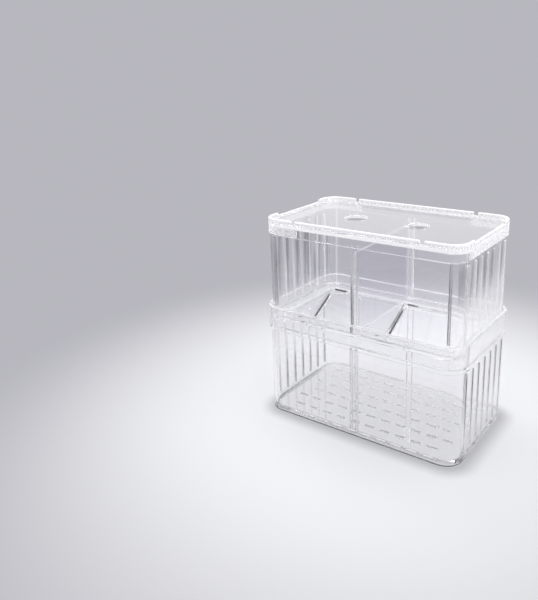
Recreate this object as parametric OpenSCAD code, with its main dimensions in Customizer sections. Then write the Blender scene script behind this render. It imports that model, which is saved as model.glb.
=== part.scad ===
// Two-tier fish breeding box of clear plastic.
// A lower box with a collar carries an upper box, which holds four sloping trap plates and a
// separation pad, and a lid with two feeding holes closes the top.
// The origin is the middle of the footprint on the table, +X runs along the length and +Z is up.

/* [Lower box] */
// Length over the collar of the lower box
collar_len = 135; // [110:1:200]
// Width over the collar of the lower box
collar_wid = 81; // [72:1:120]
// Outer corner radius of the collar
collar_r = 12; // [9:0.5:18]
// Height of the collar's lower edge above the table
collar_z = 57.5; // [52:0.5:90]
// Height of the collar from its lower edge to its top
collar_h = 16; // [11:0.5:24]
// How far the collar stands out from the wall below it
collar_step = 1.2; // [1:0.1:2]
// Wall thickness of both boxes
wall = 2; // [1.6:0.1:2.6]
// Thickness of the slotted floor
floor_t = 2; // [1.4:0.1:3]
// Height of the foot ring that the walls form below the floor
foot_h = 1; // [0.6:0.1:3]

/* [Rounded edges] */
// Radius of the round lips of the collar and of the lid's border
lip_r = 0.8; // [0.4:0.05:0.8]
// Radius of the small rounded edges of feet, rim, skirt and holes
edge_r = 0.4; // [0.2:0.05:0.5]
// Radius of the fillets where a floor meets the wall that stands on it
fillet_r = 1.2; // [0.6:0.1:2]

/* [Upper box] */
// Clearance between the upper box and the collar that it stands in
seat_gap = 0.5; // [0.3:0.1:0.8]
// Height of the upper box from its foot to its rim
upper_h = 65.9; // [55:0.5:100]
// Height of the shelf's underside above the foot of the upper box
shelf_rise = 5.5; // [3:0.5:10]
// Thickness of the shelf
shelf_t = 2; // [1.4:0.1:3]
// Distance from the short wall's inner face to the trap opening
shelf_end_w = 6; // [4:0.5:12]
// Distance from the long wall's inner face to the trap opening
shelf_side_w = 8; // [4:0.5:14]
// Depth of the step round the rim that the lid's skirt fits over
rim_step = 0.8; // [0.4:0.1:1]

/* [Trap] */
// Slope of the trap plates from the horizontal, in degrees
trap_slope = 28.9; // [20:0.1:35]
// Width of the slit between the front and the rear trap plates
slit_w = 3; // [2:0.1:6]
// Thickness of a trap plate
plate_t = 1.6; // [1.2:0.1:2.4]
// How far the plates' upper edges lie below the top of the shelf
plate_dip = 1; // [0.5:0.1:2]
// Thickness of the web and the cheeks that carry the plates' ends
cheek_t = 1.8; // [1.4:0.1:3]
// Width of the seats under the plates' ends
seat_w = 1.5; // [1:0.1:3]
// Thickness of those seats
seat_t = 1.2; // [1:0.1:2]
// Clearance between a plate and what it drops into
plate_gap = 0.3; // [0.2:0.05:0.5]

/* [Separation pad] */
// Thickness of the separation pad
pad_t = 1.8; // [1.2:0.1:2.4]
// Room that the pad can rise by until it meets the lid
pad_room = 8.4; // [2:0.1:20]
// Clearance between the pad and its guide ribs
pad_gap = 0.3; // [0.2:0.05:0.6]
// Width of a guide rib
rib_w = 1.4; // [1:0.1:2.4]
// How far a guide rib stands out from the wall
rib_d = 1.6; // [1:0.1:3]
// Distance of a corner rib past the start of the round corner
corner_rib_off = 2.5; // [0:0.1:3.2]
// Height above the shelf at which a corner rib begins
corner_rib_rise = 6.5; // [2:0.1:12]

/* [Water slots] */
// Width of the upright slots in the short walls
end_slot_w = 1.6; // [1:0.1:2.4]
// Distance from slot to slot on the short walls
end_slot_pitch = 9.2; // [6:0.1:14]
// Plain wall left above and below an upright slot
end_slot_margin = 2.5; // [1.5:0.1:8]
// Length of a slot in the floor
floor_slot_len = 6.5; // [4:0.5:12]
// Width of a slot in the floor
floor_slot_w = 1.5; // [1:0.1:2]
// Distance from slot to slot along the length
floor_pitch_x = 10.5; // [8:0.5:18]
// Distance from row to row across the width
floor_pitch_y = 11; // [5:0.5:14]
// Plain floor left between the slots and the walls
floor_margin = 5; // [3:0.5:12]

/* [Lid] */
// Clearance between the lid's skirt and the upper box
lid_gap = 0.3; // [0.2:0.05:0.8]
// Thickness of the skirt
skirt_t = 1.2; // [1:0.1:2.4]
// Depth of the skirt below the lid's plate
skirt_h = 4.9; // [3:0.1:10]
// How far the skirt reaches along the long sides, from the lid's end
skirt_reach = 26; // [18:0.5:40]
// Thickness of the lid's plate
lid_t = 2; // [1.2:0.1:3]
// Height of the raised border above the underside of the plate
border_h = 5.1; // [4:0.1:9]
// Thickness of the border
border_t = 1.8; // [1.7:0.1:3]
// Distance from the lid's end to the middle of a notch in the border
notch_inset = 23.4; // [18:0.1:34]
// Width of the notches in the border
notch_w = 3.2; // [2:0.1:6]
// Depth of the notches in the border
notch_d = 2.4; // [1:0.1:3]
// How far the raised corners reach along the short sides, from the lid's side
lug_reach = 15; // [11:0.5:24]
// Depth of the dip in the border between those corners
dip_d = 1.8; // [1:0.1:3]
// Diameter of a feeding hole
feed_d = 14.5; // [10:0.5:24]
// Distance between the two feeding holes
feed_pitch = 42; // [30:0.5:60]

/* [Hidden] */
$fn = 48;
// Overlap by which joined shapes run into each other and cuts run past a face
lap = 1;

// The lower box: outline of the collar and of the wall below it, and levels
collar_x = collar_len / 2;
collar_y = collar_wid / 2;
// The upright axes that all the round corners share
corner_x = collar_x - collar_r;
corner_y = collar_y - collar_r;
lower_x = collar_x - collar_step;
lower_y = collar_y - collar_step;
lower_r = collar_r - collar_step;
floor_top = foot_h + floor_t;
collar_top = collar_z + collar_h;
seat_z = collar_z + wall;

// The upper box: outline and levels
upper_x = collar_x - wall - seat_gap;
upper_y = collar_y - wall - seat_gap;
upper_r = collar_r - wall - seat_gap;
inner_x = upper_x - wall;
inner_y = upper_y - wall;
inner_r = upper_r - wall;
rim_z = seat_z + upper_h;
shelf_z = seat_z + shelf_rise;
shelf_top = shelf_z + shelf_t;

// The trap: two openings in the shelf, left and right of the web
open_x = inner_x - shelf_end_w;
open_y = inner_y - shelf_side_w;
web_x = cheek_t / 2;
low_y = slit_w / 2;
rise = tan(trap_slope);
plate_drop = plate_t / cos(trap_slope);
seat_drop = seat_t / cos(trap_slope);
// Height of the plates' upper surface at the edge of the opening and at the slit
trap_high = shelf_top - plate_dip;
trap_low = trap_high - (open_y - low_y) * rise;

// The pad and its guide ribs
pad_h = rim_z - pad_room - shelf_top;
pad_r = fillet_r + 2 * pad_gap;
rib_x = pad_t / 2 + pad_gap + rib_w / 2;

// The lid: outline and levels
lid_x = upper_x - rim_step + lid_gap + skirt_t;
lid_y = upper_y - rim_step + lid_gap + skirt_t;
lid_r = upper_r - rim_step + lid_gap + skirt_t;
skirt_z = rim_z - skirt_h;
lid_top = rim_z + border_h;
plate_top = rim_z + lid_t;

// How many upright slots fit on each side of the middle, between the rounded corners
end_slots = floor((upper_y - upper_r - end_slot_w / 2) / end_slot_pitch);
// How many floor slots and rows fit on each side of the middle
floor_cols = floor((lower_x - wall - floor_margin - floor_slot_len / 2) / floor_pitch_x);
floor_rows = floor((lower_y - wall - floor_margin + floor_pitch_y / 2) / floor_pitch_y);

// Rectangle with round corners, given by its half length and half width
module rounded_outline(half_x, half_y, r) {
    square([2 * half_x, 2 * (half_y - r)], center = true);
    square([2 * (half_x - r), 2 * half_y], center = true);
    for (sx = [-1, 1], sy = [-1, 1])
        translate([sx * (half_x - r), sy * (half_y - r)])
            circle(r = r);
}

module rounded_block(half_x, half_y, r, z, h) {
    translate([0, 0, z])
        linear_extrude(h)
            rounded_outline(half_x, half_y, r);
}

// Runs a section round the box. In the section x is the distance outwards from the corners'
// axes, and y is the height.
module around() {
    for (turn = [0, 180]) {
        rotate(turn)
            translate([corner_x, 0, 0])
                rotate([90, 0, 0])
                    linear_extrude(2 * corner_y, center = true)
                        children();
        rotate(turn + 90)
            translate([corner_y, 0, 0])
                rotate([90, 0, 0])
                    linear_extrude(2 * corner_x, center = true)
                        children();
    }
    for (quarter = [0 : 3]) {
        side_x = quarter == 0 || quarter == 3 ? 1 : -1;
        side_y = quarter < 2 ? 1 : -1;
        translate([side_x * corner_x, side_y * corner_y, 0])
            rotate(90 * quarter)
                rotate_extrude(angle = 90)
                    children();
    }
}

// The rounded lower or upper end of a wall's section, with the rounds' centres at height z
module soft_edge(x0, x1, z, r) {
    translate([x0 + r, z - r])
        square([x1 - x0 - 2 * r, 2 * r]);
    for (x = [x0 + r, x1 - r])
        translate([x, z])
            circle(r);
}

// Section of a wall from x0 to x1 and from z0 to z1, with rounded edges
module soft_wall(x0, x1, z0, z1, r) {
    soft_edge(x0, x1, z0 + r, r);
    translate([x0, z0 + r])
        square([x1 - x0, z1 - z0 - 2 * r]);
    soft_edge(x0, x1, z1 - r, r);
}

// Section of the fillet between a floor at height z and the wall outside it at x
module fillet(x, z) {
    difference() {
        translate([x - fillet_r, z - lap])
            square([fillet_r + lap, fillet_r + lap]);
        translate([x - fillet_r, z + fillet_r])
            circle(fillet_r);
    }
}

// Upright slots through both short walls, with round ends
module end_slots_cut(half_x, low, high) {
    depth = wall + 2 * lap;
    for (side = [-1, 1], i = [-end_slots : end_slots])
        translate([side * (half_x - wall / 2), i * end_slot_pitch, 0]) {
            translate([0, 0, (low + high) / 2])
                cube([depth, end_slot_w, high - low - end_slot_w], center = true);
            for (z = [low + end_slot_w / 2, high - end_slot_w / 2])
                translate([-depth / 2, 0, z])
                    rotate([0, 90, 0])
                        cylinder(d = end_slot_w, h = depth);
        }
}

// Rows of slots through the floor, each row half a pitch along from the next
module floor_slots_cut() {
    for (row = [-floor_rows : floor_rows - 1]) {
        odd = abs(row) % 2;
        for (i = [-floor_cols : floor_cols - odd])
            translate([
                (i + odd / 2) * floor_pitch_x,
                (row + 0.5) * floor_pitch_y,
                foot_h + floor_t / 2
            ])
                cube([floor_slot_len, floor_slot_w, floor_t + 2 * lap], center = true);
    }
}

// Upright ribs with round tips on both long walls, at one distance either side of the middle
module upright_ribs(at_x, wall_y, low, high) {
    tip_y = wall_y - rib_d + rib_w / 2;
    for (turn = [0, 180], sx = [-1, 1])
        rotate(turn)
            translate([sx * at_x, tip_y, low])
                linear_extrude(high - low) {
                    circle(d = rib_w);
                    translate([-rib_w / 2, 0])
                        square([rib_w, wall_y + wall / 2 - tip_y]);
                }
}

// Section of the lower box's wall: foot, wall, seat for the upper box, and collar
module lower_section() {
    inner = lower_r - wall;
    soft_edge(inner, lower_r, edge_r, edge_r);
    translate([inner, edge_r])
        square([wall, seat_z - edge_r]);
    fillet(inner, floor_top);
    soft_wall(collar_r - wall, collar_r, collar_z, collar_top, lip_r);
}

module lower_box() {
    color([0.88, 0.90, 0.93, 0.35]) {
        difference() {
            union() {
                around() lower_section();
                rounded_block(
                    lower_x - wall + lap,
                    lower_y - wall + lap,
                    lower_r - wall + lap,
                    foot_h,
                    floor_t
                );
            }
            end_slots_cut(lower_x, floor_top + end_slot_margin, collar_z - end_slot_margin);
            floor_slots_cut();
        }
        upright_ribs(rib_x, lower_y - wall, floor_top - floor_t / 2, collar_z);
    }
}

// Outline of a cheek, drawn across the box: level on top, and below it follows the seats
module cheek_outline() {
    under = plate_drop + seat_drop;
    polygon([
        [-open_y - lap, shelf_top],
        [open_y + lap, shelf_top],
        [open_y + lap, shelf_z],
        [open_y, trap_high - under],
        [low_y, trap_low - under],
        [-low_y, trap_low - under],
        [-open_y, trap_high - under],
        [-open_y - lap, shelf_z]
    ]);
}

// Seats for the ends of two plates, with the stop between them that keeps the slit open
module seat_outline() {
    under = plate_drop + seat_drop;
    polygon([
        [-open_y - lap, trap_high - plate_drop + lap * rise],
        [-low_y, trap_low - plate_drop],
        [-low_y, trap_low],
        [low_y, trap_low],
        [low_y, trap_low - plate_drop],
        [open_y + lap, trap_high - plate_drop + lap * rise],
        [open_y + lap, trap_high - under + lap * rise],
        [low_y, trap_low - under],
        [-low_y, trap_low - under],
        [-open_y - lap, trap_high - under + lap * rise]
    ]);
}

// Stands an outline that is drawn across the box upright, from x0 to x1 along the length
module across(x0, x1) {
    translate([x0, 0, 0])
        rotate([90, 0, 90])
            linear_extrude(x1 - x0)
                children();
}

// The web in the middle and the cheeks at both ends, each with seats towards the openings
module trap_cheeks() {
    across(-web_x, web_x) cheek_outline();
    across(-web_x - seat_w, web_x + seat_w) seat_outline();
    for (side = [-1, 1])
        mirror([side < 0 ? 1 : 0, 0, 0]) {
            across(open_x, open_x + cheek_t) cheek_outline();
            across(open_x - seat_w, open_x + cheek_t / 2) seat_outline();
        }
}

// Section of the upper box's wall, with the step for the lid's skirt at its rim
module upper_section() {
    step_z = skirt_z - lid_gap;
    rim_r = upper_r - rim_step;
    soft_wall(inner_r, upper_r, seat_z, step_z, edge_r);
    soft_wall(inner_r, rim_r, shelf_top, rim_z, edge_r);
    fillet(inner_r, shelf_top);
}

module upper_box() {
    color([0.84, 0.86, 0.90, 0.35]) {
        difference() {
            union() {
                around() upper_section();
                rounded_block(inner_x + lap, inner_y + lap, inner_r + lap, shelf_z, shelf_t);
            }
            for (side = [-1, 1])
                translate([side * (open_x + web_x) / 2, 0, shelf_z + shelf_t / 2])
                    cube([open_x - web_x, 2 * open_y, shelf_t + 2 * lap], center = true);
            end_slots_cut(upper_x, shelf_top + end_slot_margin, skirt_z - end_slot_margin);
        }
        trap_cheeks();
        upright_ribs(rib_x, inner_y, shelf_top - shelf_t / 2, skirt_z);
        upright_ribs(
            corner_x + corner_rib_off,
            inner_y,
            shelf_top + corner_rib_rise,
            skirt_z - rib_d
        );
    }
}

// One sloping plate. Its ends lie on two seats, its lower edge meets their stops, and it drops
// in from above.
module trap_plate(side_x, side_y) {
    high_y = open_y - plate_gap;
    high_z = trap_high - plate_gap * rise;
    length = open_x - web_x - 2 * plate_gap;
    color([0.86, 0.88, 0.91, 0.35])
        across(side_x * (open_x + web_x) / 2 - length / 2, side_x * (open_x + web_x) / 2 + length / 2)
            polygon([
                [side_y * high_y, high_z],
                [side_y * low_y, trap_low],
                [side_y * low_y, trap_low - plate_drop],
                [side_y * high_y, high_z - plate_drop]
            ]);
}

module separation_pad() {
    color([0.86, 0.88, 0.92, 0.35])
        translate([0, 0, shelf_top + pad_h / 2])
            across(-pad_t / 2, pad_t / 2)
                rounded_outline(inner_y - pad_gap, pad_h / 2, pad_r);
}

// A feeding hole through the lid's plate, with a rounded upper edge
module feed_hole_cut() {
    translate([0, 0, rim_z - lap])
        cylinder(d = feed_d, h = lid_t + 2 * lap);
    translate([0, 0, plate_top - edge_r])
        rotate_extrude()
            difference() {
                square([feed_d / 2 + edge_r, edge_r + lap]);
                translate([feed_d / 2 + edge_r, 0])
                    circle(edge_r);
            }
}

module lid() {
    // The border stands on the plate's edge and is lower between the corners of each end
    module border(top) {
        around() soft_wall(lid_r - border_t, lid_r, rim_z, top, lip_r);
    }
    color([0.90, 0.91, 0.94, 0.35])
        difference() {
            union() {
                rounded_block(
                    lid_x - border_t + lap,
                    lid_y - border_t + lap,
                    lid_r - border_t + lap,
                    rim_z,
                    lid_t
                );
                around() fillet(lid_r - border_t, plate_top);
                border(lid_top - dip_d);
                difference() {
                    border(lid_top);
                    for (side = [-1, 1])
                        translate([side * lid_x, 0, lid_top])
                            cube(
                                [2 * (border_t + lap), 2 * (lid_y - lug_reach), 2 * dip_d],
                                center = true
                            );
                }
                // The skirt covers only the ends
                difference() {
                    around() soft_wall(lid_r - skirt_t, lid_r, skirt_z, rim_z + lap, edge_r);
                    translate([0, 0, rim_z - (skirt_h + lap) / 2])
                        cube(
                            [2 * (lid_x - skirt_reach), 2 * (lid_y + lap), skirt_h + lap],
                            center = true
                        );
                }
            }
            // Notches on the long sides
            for (sx = [-1, 1], sy = [-1, 1])
                translate([sx * (lid_x - notch_inset), sy * lid_y, lid_top])
                    cube([notch_w, 2 * (border_t + lap), 2 * notch_d], center = true);
            for (side = [-1, 1])
                translate([side * feed_pitch / 2, 0, 0])
                    feed_hole_cut();
        }
}

lower_box();
upper_box();
lid();
separation_pad();
trap_plate(-1, -1);  // trap_plate_front_left
trap_plate(-1, 1);  // trap_plate_rear_left
trap_plate(1, -1);  // trap_plate_front_right
trap_plate(1, 1);  // trap_plate_rear_right
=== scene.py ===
"""Finishes a two-tier fish breeding box in clear plastic and sets it on a studio floor."""

import bmesh
import bpy
from bpy.props import (
    FloatProperty,
    FloatVectorProperty,
    IntProperty,
    PointerProperty,
)
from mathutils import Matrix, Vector


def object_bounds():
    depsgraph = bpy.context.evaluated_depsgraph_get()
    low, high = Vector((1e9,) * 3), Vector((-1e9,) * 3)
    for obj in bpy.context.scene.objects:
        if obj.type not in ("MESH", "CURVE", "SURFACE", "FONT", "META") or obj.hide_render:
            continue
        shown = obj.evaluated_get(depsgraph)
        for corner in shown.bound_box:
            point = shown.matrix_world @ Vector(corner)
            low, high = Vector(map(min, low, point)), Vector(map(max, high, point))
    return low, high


bl_info = {
    "name": "Fish Breeding Box",
    "version": (1, 0, 0),
    "blender": (4, 5, 0),
    "location": "3D View > Sidebar > Breeding Box",
    "description": "Finishes the clear plastic of a two-tier fish breeding box and lights it",
    "category": "Object",
}

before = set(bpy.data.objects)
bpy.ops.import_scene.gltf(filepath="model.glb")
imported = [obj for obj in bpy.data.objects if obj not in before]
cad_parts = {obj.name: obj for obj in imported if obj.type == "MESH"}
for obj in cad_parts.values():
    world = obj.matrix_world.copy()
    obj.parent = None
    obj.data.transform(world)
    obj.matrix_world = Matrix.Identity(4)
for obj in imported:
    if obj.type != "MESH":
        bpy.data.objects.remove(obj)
CAD_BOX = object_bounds()
MM = 0.001

TRAP_PLATES = (
    "trap_plate_front_left",
    "trap_plate_rear_left",
    "trap_plate_front_right",
    "trap_plate_rear_right",
)

# The upright axes of the four round corners, which the walls of all the pieces share
CORNER_X = 55.5 * MM
CORNER_Y = 28.5 * MM

# Bottom and top of the painted shade and painted highlights in the upright slots
LOWER_SLOTS = (6 * MM, 56 * MM)
UPPER_SLOTS = (69 * MM, 119 * MM)

# How much of a face's normal lies along an axis where the face starts to count as facing
# that way, and where it fully does
FACING = (0.4, 0.7)

# Colour of the painted highlights and glow, white where the real plastic gathers light
HIGHLIGHT_WHITE = (0.9, 0.9, 0.92)

# Colour of the painted shadow where the box touches the floor
CONTACT_SHADE = (0.35, 0.35, 0.38)

# Name, place, size in metres and power in watts of each lamp
LAMPS = (
    ("top lamp", (0.0, 0.0, 0.9), (0.8, 0.8), 3.0),
    ("left lamp", (-0.7, 0.3, 0.7), (0.35, 0.35), 2.6),
    ("right lamp", (0.9, 0.1, 0.5), (0.3, 0.8), 2.0),
)


class Wire:
    """A number that runs between shader nodes. Sums on it add Math nodes."""

    def __init__(self, graph, socket):
        self.graph = graph
        self.socket = socket

    def math(self, operation, *values):
        return self.graph.node(
            "ShaderNodeMath", {"operation": operation}, dict(enumerate(values))
        )

    def __add__(self, other):
        return self.math("ADD", self, other)

    __radd__ = __add__

    def __sub__(self, other):
        return self.math("SUBTRACT", self, other)

    def __rsub__(self, other):
        return self.math("SUBTRACT", other, self)

    def __mul__(self, other):
        return self.math("MULTIPLY", self, other)

    __rmul__ = __mul__

    def __or__(self, other):
        return self.math("MAXIMUM", self, other)

    def __abs__(self):
        return self.math("ABSOLUTE", self)


class Graph:
    """The shader nodes of one material or world."""

    def __init__(self, owner):
        owner.use_nodes = True
        self.tree = owner.node_tree
        self.tree.nodes.clear()

    def outputs(self, kind, settings=None, inputs=None):
        """Adds a node and returns its outputs by name. Settings come before its inputs."""
        node = self.tree.nodes.new(kind)
        for name, value in (settings or {}).items():
            setattr(node, name, value)
        for name, value in (inputs or {}).items():
            socket = node.inputs[name]
            if isinstance(value, Wire):
                self.tree.links.new(value.socket, socket)
            else:
                socket.default_value = value
        return {output.name: Wire(self, output) for output in node.outputs}

    def node(self, kind, settings=None, inputs=None, out=None):
        """Adds a node and returns one output, the first one unless it is named."""
        outputs = self.outputs(kind, settings, inputs)
        return outputs[out] if out else next(iter(outputs.values()), None)

    def split(self, vector):
        """The three coordinates of a vector."""
        return self.outputs("ShaderNodeSeparateXYZ", inputs={0: vector}).values()

    def vector(self, operation, *values, out=None):
        return self.node(
            "ShaderNodeVectorMath", {"operation": operation}, dict(enumerate(values)), out
        )

    def mapped(self, value, low, high, to_low=0.0, to_high=1.0):
        """A smooth step: to_low below low and to_high above high."""
        return self.node(
            "ShaderNodeMapRange",
            {"interpolation_type": "SMOOTHSTEP"},
            {
                "Value": value,
                "From Min": low,
                "From Max": high,
                "To Min": to_low,
                "To Max": to_high,
            },
        )

    def noise(self, place, scale, detail=2.0):
        return self.node(
            "ShaderNodeTexNoise",
            inputs={"Vector": place, "Scale": scale, "Detail": detail},
        )

    def stretched(self, place, factors):
        """Coordinates scaled by a factor along each axis."""
        return self.vector("MULTIPLY", place, factors)

    def within(self, value, low, high, soft):
        """1 between two limits and 0 outside them, with soft ends."""
        rising = self.mapped(value, low - soft, low + soft)
        falling = self.mapped(value, high - soft, high + soft, 1.0, 0.0)
        return rising * falling

    def reach(self, place):
        """Distance from the rectangle between the corner axes, which all the walls follow.

        A metre is taken off the height, so that the height never counts.
        """
        past = self.vector("SUBTRACT", self.vector("ABSOLUTE", place), (CORNER_X, CORNER_Y, 1))
        return self.vector("LENGTH", self.vector("MAXIMUM", past, (0, 0, 0)), out="Value")

    def mixed(self, factor, under, over):
        return self.node("ShaderNodeMixShader", inputs={0: factor, 1: under, 2: over})


class PlasticSettings(bpy.types.PropertyGroup):
    tint: FloatVectorProperty(
        name="Tint",
        description="Colour of the light that passes one surface of the plastic",
        subtype="COLOR",
        default=(0.973, 0.971, 0.983),
        min=0.0,
        max=1.0,
    )
    shade: FloatProperty(
        name="Shade",
        description="Share of the lamps' light that passes one surface of the plastic",
        subtype="FACTOR",
        default=0.935,
        min=0.0,
        max=1.0,
    )
    ior: FloatProperty(
        name="IOR",
        description="Index of refraction of clear polystyrene",
        default=1.52,
        min=1.3,
        max=1.7,
    )
    polish: FloatProperty(
        name="Polish",
        description="Roughness where the mould is polished",
        default=0.01,
        min=0.0,
        max=0.3,
    )
    ripple: FloatProperty(
        name="Ripple",
        description="Height of the flow marks that the moulding leaves in the walls",
        subtype="DISTANCE",
        unit="LENGTH",
        default=0.01 * MM,
        min=0.0,
        max=MM,
        precision=6,
    )
    edge_light: FloatProperty(
        name="Edge Light",
        description="Light that the white edges and corners give off",
        default=0.35,
        min=0.0,
        max=2.0,
    )


class StageSettings(bpy.types.PropertyGroup):
    floor_colour: FloatVectorProperty(
        name="Floor",
        description="Colour of the floor round the box",
        subtype="COLOR",
        default=(0.88, 0.885, 0.91),
        min=0.0,
        max=1.0,
    )
    far_colour: FloatVectorProperty(
        name="Backdrop",
        description="Colour that the floor fades to, and of the backdrop behind it",
        subtype="COLOR",
        default=(0.48, 0.475, 0.52),
        min=0.0,
        max=1.0,
    )
    fade_start: FloatProperty(
        name="Fade Start",
        description="Distance from the middle at which the floor starts to fade",
        subtype="DISTANCE",
        unit="LENGTH",
        default=0.08,
        min=0.0,
        max=2.0,
    )
    fade_end: FloatProperty(
        name="Fade End",
        description="Distance from the middle at which the floor has faded",
        subtype="DISTANCE",
        unit="LENGTH",
        default=0.30,
        min=0.0,
        max=2.0,
    )
    radius: FloatProperty(
        name="Radius",
        description="Radius of the round floor and its backdrop",
        subtype="DISTANCE",
        unit="LENGTH",
        default=2.4,
        min=1.0,
        max=10.0,
    )
    backdrop_height: FloatProperty(
        name="Backdrop Height",
        description="Height of the backdrop round the floor",
        subtype="DISTANCE",
        unit="LENGTH",
        default=0.6,
        min=0.1,
        max=5.0,
    )
    sky: FloatProperty(
        name="Sky",
        description="Strength of the white room light",
        default=0.55,
        min=0.0,
        max=2.0,
    )
    bounces: IntProperty(
        name="Bounces",
        description="How often light may pass or mirror in the plastic",
        default=48,
        min=8,
        max=128,
    )


class CameraSettings(bpy.types.PropertyGroup):
    place: FloatVectorProperty(
        name="Place",
        description="Where the camera stands",
        subtype="TRANSLATION",
        unit="LENGTH",
        default=(0.1836, -0.3396, 0.2225),
    )
    turn: FloatVectorProperty(
        name="Turn",
        description="How the camera is turned",
        subtype="EULER",
        unit="ROTATION",
        default=(1.28683, 0.02723, 0.62433),
    )
    lens: FloatProperty(
        name="Lens",
        description="Focal length in millimetres for a 36 mm film",
        default=38.82,
        min=10.0,
        max=200.0,
    )
    shift: FloatVectorProperty(
        name="Shift",
        description="Shift of the frame across and up, as a share of its longer side",
        size=2,
        default=(-0.0517, -0.0833),
    )


class BoxSettings(bpy.types.PropertyGroup):
    plastic: PointerProperty(type=PlasticSettings)
    stage: PointerProperty(type=StageSettings)
    camera: PointerProperty(type=CameraSettings)


class Finish:
    """The shader of one clear piece: polished plastic, and painted highlights and painted shade
    laid over it one by one.

    Marks are placed by their position in the box and tuned for the main view.
    """

    def __init__(self, name, plastic, ripple_scale, thin=False):
        self.material = bpy.data.materials.new(name)
        self.plastic = plastic
        graph = self.graph = Graph(self.material)
        coordinates = graph.outputs("ShaderNodeTexCoord")
        self.place = coordinates["Object"]
        self.x, self.y, self.z = graph.split(self.place)
        self.facing_x, self.facing_y, self.facing_z = graph.split(coordinates["Normal"])
        waves = graph.noise(graph.stretched(self.place, ripple_scale), 1.0)
        bump = graph.node(
            "ShaderNodeBump",
            inputs={"Strength": 1.0, "Distance": plastic.ripple, "Height": waves},
        )
        wear = graph.noise(self.place, 60.0, 4.0)
        polish = graph.mapped(wear, 0.45, 0.75, plastic.polish, plastic.polish + 0.03)
        if thin:
            self.surface = self.pane(polish, bump)
        else:
            self.surface = graph.node(
                "ShaderNodeBsdfPrincipled",
                inputs={
                    "Base Color": (*plastic.tint, 1),
                    "Roughness": polish,
                    "IOR": plastic.ior,
                    "Transmission Weight": 1.0,
                    "Normal": bump,
                },
            )

    def pane(self, polish, bump):
        """A sheet so thin that light passes it straight, with a mirror on its surface."""
        graph = self.graph
        mirror = graph.node("ShaderNodeBsdfGlossy", inputs={"Roughness": polish, "Normal": bump})
        clear = graph.node(
            "ShaderNodeBsdfTransparent", inputs={"Color": (*self.plastic.tint, 1)}
        )
        grazing = graph.node(
            "ShaderNodeLayerWeight", inputs={"Blend": 0.5, "Normal": bump}, out="Facing"
        )
        share = graph.mapped(grazing, 0.5, 1.0, 0.04, 0.6)
        return graph.mixed(share, clear, mirror)

    def turned(self, facing, level=1.0):
        """A level on the faces that don't look along an axis, and 0 on those that do."""
        return self.graph.mapped(abs(facing), *FACING, level, 0.0)

    def right_half(self):
        return self.graph.mapped(self.x, -1 * MM, 1 * MM)

    def speckle(self, scale, low, high):
        """A fine speckle for the painted glow, 0 below one level of a noise and 1 above the other.
        """
        return self.graph.mapped(self.graph.noise(self.place, scale, 3.0), low, high)

    def lay(self, mask, colour, glow=0.0):
        """Covers the masked part with a matt colour that stands in for a highlight or shade, and
        gives off light if it glows.
        """
        matt = self.graph.node(
            "ShaderNodeBsdfPrincipled",
            inputs={
                "Base Color": (*colour, 1),
                "Roughness": 0.5,
                "Emission Color": (1, 1, 1, 1),
                "Emission Strength": glow,
            },
        )
        self.surface = self.graph.mixed(mask, self.surface, matt)

    def white(self, mask):
        """Paints a glowing white highlight where the real plastic gathers the light."""
        self.lay(mask, HIGHLIGHT_WHITE, self.plastic.edge_light)

    def dark(self, mask, level=0.03):
        """Paints shade, dark where the real plastic turns the light away."""
        self.lay(mask, (level, level, level * 1.05))

    def finished(self):
        """Lets lamps and the room's light pass straight and a little dimmed."""
        graph = self.graph
        path = graph.outputs("ShaderNodeLightPath")
        shade = self.plastic.shade
        passing = graph.node(
            "ShaderNodeBsdfTransparent", inputs={"Color": (shade, shade, shade, 1)}
        )
        straight = path["Is Shadow Ray"] | path["Is Diffuse Ray"]
        surface = graph.mixed(straight, self.surface, passing)
        graph.node("ShaderNodeOutputMaterial", inputs={"Surface": surface})
        return self.material


def dress(node_name, material):
    """Gives a CAD node its finish."""
    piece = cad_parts[node_name]
    if not piece.material_slots:
        piece.data.materials.append(material)
    for slot in piece.material_slots:
        slot.material = material


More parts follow.
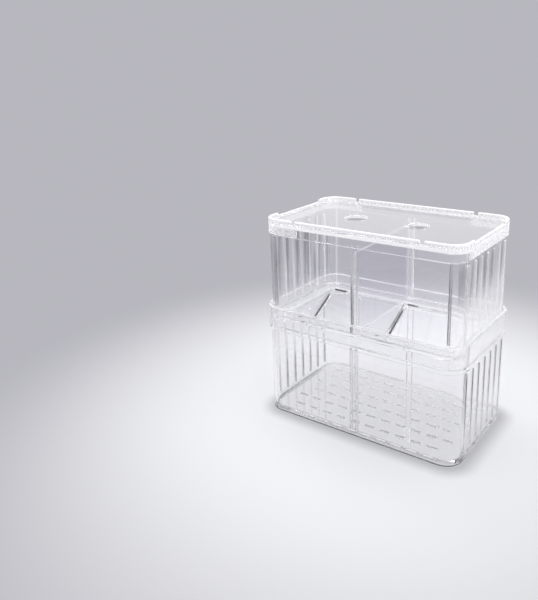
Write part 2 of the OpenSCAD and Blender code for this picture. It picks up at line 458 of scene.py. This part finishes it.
class BREEDINGBOX_OT_lower_box(bpy.types.Operator):
    """Finish the lower box with its slotted floor and its collar"""

    bl_idname = "breedingbox.lower_box"
    bl_label = "Lower Box"

    def execute(self, context):
        plastic = context.scene.breeding_box.plastic
        finish = Finish("clear lower box", plastic, (90, 90, 14))
        graph = finish.graph
        reach = graph.reach(finish.place)
        # Painted shade in the upright slots, high up at the right end and low down at the left end
        at_end = graph.mapped(abs(finish.x), 63 * MM, 63.5 * MM)
        across = finish.turned(finish.facing_x)
        in_slots = at_end * across * graph.within(finish.z, *LOWER_SLOTS, 0.4 * MM)
        right = finish.right_half()
        upper_part = graph.mapped(finish.z, 12 * MM, 42 * MM, 0.1, 0.45) * right
        lower_part = graph.mapped(finish.z, 14 * MM, 34 * MM, 0.4, 0.04) * (1.0 - right)
        finish.dark(in_slots * (upper_part + lower_part), 0.2)
        # Painted shade on the upright faces of the slots in the floor
        upright = finish.turned(finish.facing_z, 0.16)
        floor_slots = graph.mapped(finish.z, 3 * MM, 3.3 * MM, 1.0, 0.0) * upright
        inside = graph.mapped(reach, 7 * MM, 8 * MM, 1.0, 0.0)
        finish.dark(floor_slots * inside, 0.35)
        # Painted shade on the front guide ribs
        ribs = graph.mapped(abs(finish.x), 2.6 * MM, 2.9 * MM, 0.12, 0.0)
        finish.dark(ribs * graph.within(finish.y, -38 * MM, -35 * MM, 0.4 * MM), 0.3)
        # Painted glow on the collar, speckled and stronger towards the ends, and a painted
        # highlight on its lip
        on_collar = graph.within(finish.z, 56 * MM, 76 * MM, 4 * MM)
        towards_ends = graph.mapped(abs(finish.x), 40 * MM, 66 * MM, 0.02, 0.16)
        finish.white(on_collar * towards_ends * finish.speckle(700, 0.35, 0.6))
        lip = graph.mapped(finish.z, 72.4 * MM, 73 * MM, 0.0, 0.3)
        finish.white(lip)
        # Painted shade on the foot, darkest at the front
        foot = graph.mapped(finish.z, 0.9 * MM, 1.5 * MM, 1.0, 0.0)
        foot = foot * graph.mapped(finish.y, -30 * MM, -10 * MM, 0.75, 0.08)
        finish.dark(foot * graph.mapped(reach, 9.6 * MM, 10.2 * MM), 0.08)
        dress("lower_box", finish.finished())
        return {"FINISHED"}


class BREEDINGBOX_OT_upper_box(bpy.types.Operator):
    """Finish the upper box that stands in the collar"""

    bl_idname = "breedingbox.upper_box"
    bl_label = "Upper Box"

    def execute(self, context):
        plastic = context.scene.breeding_box.plastic
        finish = Finish("clear upper box", plastic, (110, 110, 12))
        graph = finish.graph
        # Painted shade in streaks down the end walls
        at_end = graph.mapped(abs(finish.x), 61.5 * MM, 62.5 * MM)
        streaks = graph.noise(graph.stretched(finish.place, (1, 420, 14)), 1.0, 1.0)
        bands = graph.mapped(streaks, 0.5, 0.62) * graph.within(finish.z, 76 * MM, 118 * MM, 6 * MM)
        right = finish.right_half()
        depth = graph.mapped(finish.z, 88 * MM, 104 * MM, 0.3 * (1.0 - right), 0.42)
        finish.dark(at_end * bands * depth, 0.2)
        # Painted glow on the right end wall, stronger low down
        finish.white(at_end * right * graph.mapped(finish.z, 84 * MM, 112 * MM, 0.2, 0.04))
        # Painted highlights in the upright slots
        across = finish.turned(finish.facing_x)
        in_slots = at_end * across * graph.within(finish.z, *UPPER_SLOTS, 0.4 * MM)
        finish.white(in_slots * 0.3)
        # Painted glow at the height of the shelf, speckled and stronger towards the ends
        low = graph.within(finish.z, 58 * MM, 72 * MM, 8 * MM)
        towards_ends = graph.mapped(abs(finish.x), 48 * MM, 62 * MM, 0.0, 0.14)
        finish.white(low * towards_ends * finish.speckle(650, 0.4, 0.6))
        # Painted shade on the ribs at the front and painted highlights on them at the rear
        in_middle = graph.mapped(abs(finish.x), 2.6 * MM, 2.9 * MM, 1.0, 0.0)
        in_corners = graph.within(abs(finish.x), 57.3 * MM, 58.7 * MM, 0.15 * MM)
        tips = graph.within(finish.y, -35.3 * MM, -34 * MM, 0.2 * MM)
        left_rib = graph.within(finish.x, -2.8 * MM, -1 * MM, 0.15 * MM)
        fading = graph.mapped(finish.z, 84 * MM, 106 * MM, 0.6, 0.0)
        finish.dark(left_rib * tips * fading, 0.12)
        paling = graph.mapped(finish.z, 100 * MM, 119 * MM, 0.4, 0.15)
        finish.dark(in_corners * tips * paling, 0.12)
        rear = graph.within(finish.y, 34 * MM, 35.6 * MM, 0.2 * MM)
        finish.white((in_middle | in_corners) * rear * 0.4)
        dress("upper_box", finish.finished())
        return {"FINISHED"}


class BREEDINGBOX_OT_lid(bpy.types.Operator):
    """Finish the lid with its border and its feeding holes"""

    bl_idname = "breedingbox.lid"
    bl_label = "Lid"

    def execute(self, context):
        plastic = context.scene.breeding_box.plastic
        finish = Finish("clear lid", plastic, (40, 60, 60))
        graph = finish.graph
        # Painted highlights on the border: bright on its crest and root, speckled on its wall, and
        # weaker on the skirt at the front right
        border = graph.mapped(graph.reach(finish.place), 7.9 * MM, 8.5 * MM)
        crest = graph.mapped(finish.z, 129.3 * MM, 129.9 * MM, 0.0, 0.75)
        root = graph.within(finish.z, 125.5 * MM, 127.5 * MM, 0.3 * MM) * 0.6
        glow_speckle = graph.mapped(graph.noise(finish.place, 900, 3.0), 0.4, 0.62, 0.12, 0.5)
        skirt = graph.mapped(finish.z, 125 * MM, 125.4 * MM, 1.0, 0.0)
        front = graph.mapped(finish.y, -32 * MM, -24 * MM, 1.0, 0.0)
        front_right = graph.mapped(finish.x, 0.0, 5 * MM) * front
        wall = glow_speckle + graph.mapped(abs(finish.x), 50 * MM, 60 * MM, 0.0, 0.2)
        wall = wall + graph.mapped(finish.y, 30 * MM, 36 * MM, 0.0, 0.3)
        finish.white(border * (crest | root | wall) * (1.0 - 0.85 * (skirt * front_right)))
        dress("lid", finish.finished())
        return {"FINISHED"}


class BREEDINGBOX_OT_separation_pad(bpy.types.Operator):
    """Finish the pad that divides the upper box"""

    bl_idname = "breedingbox.separation_pad"
    bl_label = "Separation Pad"

    def execute(self, context):
        plastic = context.scene.breeding_box.plastic
        finish = Finish("clear pad", plastic, (60, 30, 30), thin=True)
        # Painted highlight on the pad's edges
        finish.white(finish.turned(finish.facing_x, 0.25))
        dress("separation_pad", finish.finished())
        return {"FINISHED"}


class BREEDINGBOX_OT_trap_plates(bpy.types.Operator):
    """Finish the four sloping plates that the fry drop between"""

    bl_idname = "breedingbox.trap_plates"
    bl_label = "Trap Plates"

    def execute(self, context):
        plastic = context.scene.breeding_box.plastic
        finish = Finish("clear trap plate", plastic, (30, 80, 30))
        graph = finish.graph
        # Painted shade on the left ends of the plates, at the left cheek and at the web
        at_cheek = graph.mapped(finish.x, -55.8 * MM, -55.6 * MM, 0.9, 0.0)
        at_web = graph.within(finish.x, 1 * MM, 2.2 * MM, 0.1 * MM) * 0.9
        finish.dark((at_cheek | at_web) * graph.within(finish.y, 2 * MM, 23 * MM, 1 * MM))
        material = finish.finished()
        for name in TRAP_PLATES:
            dress(name, material)
        return {"FINISHED"}


def add_mesh(name, build, material):
    """Makes a stage object from a function that fills a bmesh."""
    shape = bmesh.new()
    build(shape)
    mesh = bpy.data.meshes.new(name)
    shape.to_mesh(mesh)
    shape.free()
    mesh.materials.append(material)
    thing = bpy.data.objects.new(name, mesh)
    bpy.context.scene.collection.objects.link(thing)
    return thing


def sweep_material(stage):
    """A pale floor that fades to an even grey, with a painted shadow round the foot of the box."""
    material = bpy.data.materials.new("studio sweep")
    graph = Graph(material)
    place = graph.node("ShaderNodeTexCoord", out="Object")
    distance = graph.vector("LENGTH", place, out="Value")
    near = graph.node("ShaderNodeBsdfDiffuse", inputs={"Color": (*stage.floor_colour, 1)})
    far = graph.node("ShaderNodeEmission", inputs={"Color": (*stage.far_colour, 1)})
    moved = graph.vector("SUBTRACT", place, (1.5 * MM, -1 * MM, 0))
    reach = graph.reach(moved)
    x, y, _ = graph.split(place)
    behind = graph.mapped(y, 10 * MM, 34 * MM) * graph.mapped(x, 50 * MM, 60 * MM, 1.0, 0.0)
    contact = graph.mapped(reach, 8 * MM, 22 * MM, 0.66, 0.0) * graph.mapped(reach, 8 * MM, 10 * MM)
    contact = contact * (1.0 - behind)
    shaded = graph.node("ShaderNodeBsdfDiffuse", inputs={"Color": (*CONTACT_SHADE, 1)})
    near = graph.mixed(contact, near, shaded)
    fade = graph.mapped(distance, stage.fade_start, stage.fade_end)
    graph.node("ShaderNodeOutputMaterial", inputs={"Surface": graph.mixed(fade, near, far)})
    return material


def add_lamp(name, place, size, power):
    """A soft rectangular lamp that looks at the middle of the box."""
    lamp = bpy.data.lights.new(name, "AREA")
    lamp.shape = "RECTANGLE"
    lamp.size, lamp.size_y = size
    lamp.energy = power
    thing = bpy.data.objects.new(name, lamp)
    bpy.context.scene.collection.objects.link(thing)
    thing.location = place
    middle = (Vector(CAD_BOX[0]) + Vector(CAD_BOX[1])) / 2
    thing.rotation_euler = (middle - thing.location).to_track_quat("-Z", "Y").to_euler()


def add_world(stage):
    """White room light, and pure white for what the plastic mirrors or bends into view."""
    world = bpy.data.worlds.new("studio room")
    bpy.context.scene.world = world
    graph = Graph(world)
    path = graph.outputs("ShaderNodeLightPath")
    seen = path["Is Camera Ray"] | path["Is Glossy Ray"] | path["Is Transmission Ray"]
    room = graph.node("ShaderNodeBackground", inputs={"Color": (1, 1, 1, 1), "Strength": stage.sky})
    shown = graph.node("ShaderNodeBackground", inputs={"Color": (1, 1, 1, 1), "Strength": 1.0})
    graph.node("ShaderNodeOutputWorld", inputs={"Surface": graph.mixed(seen, room, shown)})


class BREEDINGBOX_OT_stage(bpy.types.Operator):
    """Add the floor, the backdrop, the lamps and the room's light"""

    bl_idname = "breedingbox.stage"
    bl_label = "Stage"

    def execute(self, context):
        scene = context.scene
        stage = scene.breeding_box.stage
        material = sweep_material(stage)

        def floor(shape):
            bmesh.ops.create_circle(shape, cap_ends=True, segments=128, radius=stage.radius)

        def backdrop(shape):
            bmesh.ops.create_cone(
                shape,
                segments=128,
                radius1=stage.radius,
                radius2=stage.radius,
                depth=stage.backdrop_height,
            )
            bmesh.ops.translate(
                shape, verts=shape.verts, vec=(0, 0, stage.backdrop_height / 2)
            )

        add_mesh("studio_floor", floor, material)
        add_mesh("studio_backdrop", backdrop, material)
        for lamp in LAMPS:
            add_lamp(*lamp)
        add_world(stage)
        cycles = scene.cycles
        cycles.max_bounces = stage.bounces
        cycles.glossy_bounces = stage.bounces
        cycles.transmission_bounces = stage.bounces
        cycles.transparent_max_bounces = stage.bounces
        cycles.caustics_reflective = False
        cycles.caustics_refractive = False
        scene.view_settings.view_transform = "Standard"
        return {"FINISHED"}


class BREEDINGBOX_OT_camera(bpy.types.Operator):
    """Add the camera"""

    bl_idname = "breedingbox.camera"
    bl_label = "Camera"

    def execute(self, context):
        settings = context.scene.breeding_box.camera
        camera = bpy.data.cameras.new("camera")
        camera.sensor_fit = "AUTO"
        camera.sensor_width = 36.0
        camera.lens = settings.lens
        camera.shift_x, camera.shift_y = settings.shift
        thing = bpy.data.objects.new("camera", camera)
        thing.location = settings.place
        thing.rotation_euler = settings.turn
        context.scene.collection.objects.link(thing)
        context.scene.camera = thing
        return {"FINISHED"}


class BREEDINGBOX_PT_pieces(bpy.types.Panel):
    """The pieces of the box and the stage"""

    bl_idname = "BREEDINGBOX_PT_pieces"
    bl_label = "Breeding Box"
    bl_space_type = "VIEW_3D"
    bl_region_type = "UI"
    bl_category = "Breeding Box"

    def draw(self, context):
        for operator in OPERATORS:
            self.layout.operator(operator.bl_idname)
        settings = context.scene.breeding_box
        for group in (settings.plastic, settings.stage, settings.camera):
            box = self.layout.box()
            for name in group.__annotations__:
                box.prop(group, name)


OPERATORS = (
    BREEDINGBOX_OT_camera,
    BREEDINGBOX_OT_lower_box,
    BREEDINGBOX_OT_upper_box,
    BREEDINGBOX_OT_lid,
    BREEDINGBOX_OT_separation_pad,
    BREEDINGBOX_OT_trap_plates,
    BREEDINGBOX_OT_stage,
)

CLASSES = (
    PlasticSettings,
    StageSettings,
    CameraSettings,
    BoxSettings,
    *OPERATORS,
    BREEDINGBOX_PT_pieces,
)


def register():
    for cls in CLASSES:
        bpy.utils.register_class(cls)
    bpy.types.Scene.breeding_box = PointerProperty(type=BoxSettings)


def unregister():
    del bpy.types.Scene.breeding_box
    for cls in reversed(CLASSES):
        bpy.utils.unregister_class(cls)


def main():
    register()
    for operator in OPERATORS:
        name = operator.bl_idname.split(".")[1]
        getattr(bpy.ops.breedingbox, name)()


if __name__ == "__main__":
    main()
